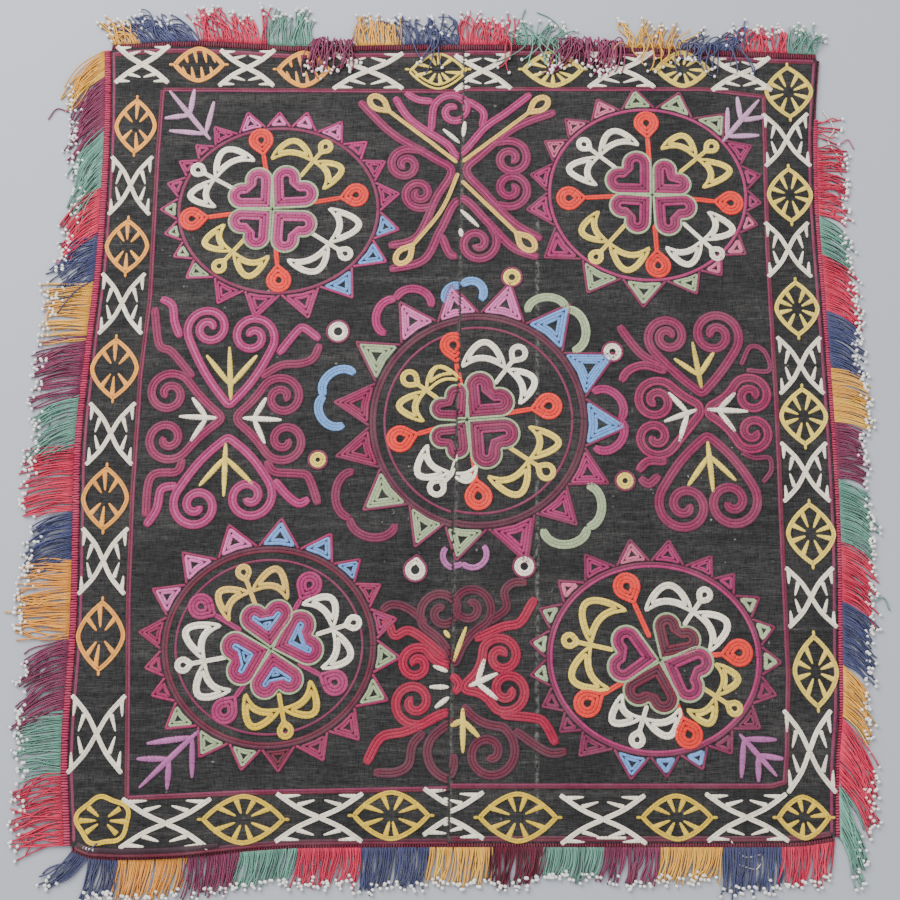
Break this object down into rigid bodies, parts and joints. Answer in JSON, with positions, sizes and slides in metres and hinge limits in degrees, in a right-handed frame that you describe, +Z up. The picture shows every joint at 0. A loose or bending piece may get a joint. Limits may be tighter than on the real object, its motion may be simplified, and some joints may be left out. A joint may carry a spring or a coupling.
{
  "type": "embroidered mirror cover",
  "caption": "Square embroidered cotton cover for a mirror, two panels joined at a centre seam, with a fringe of beaded silk threads on all four edges, lying face up.",
  "frame": {"origin": "on the flat underside, in the middle of the cover, 3 mm left of the centre seam", "axes": "+Z up out of the embroidered face, +X to the right along the top edge, +Y towards the top edge"},
  "size_m": [0.4776, 0.5147, 0.0054],
  "materials": {
    "ground_cotton": "matte hand-woven cotton, dyed charcoal black",
    "fringe_silk": "soft twisted silk thread, crimson heading with locks in blocks of gold, plum, green, crimson and navy",
    "embroidery_silk": "chain-stitched silk floss with a soft sheen, in plum, crimson, cream, yellow, red, green and blue",
    "bead_glass": "opaque white glass seed beads"
  },
  "bodies": {
    "root": {"ground_left": "ground_cotton", "ground_right": "ground_cotton", "fringe_left": "fringe_silk", "fringe_right": "fringe_silk", "fringe_top": "fringe_silk", "fringe_bottom": "fringe_silk"}
  },
  "joints": []
}
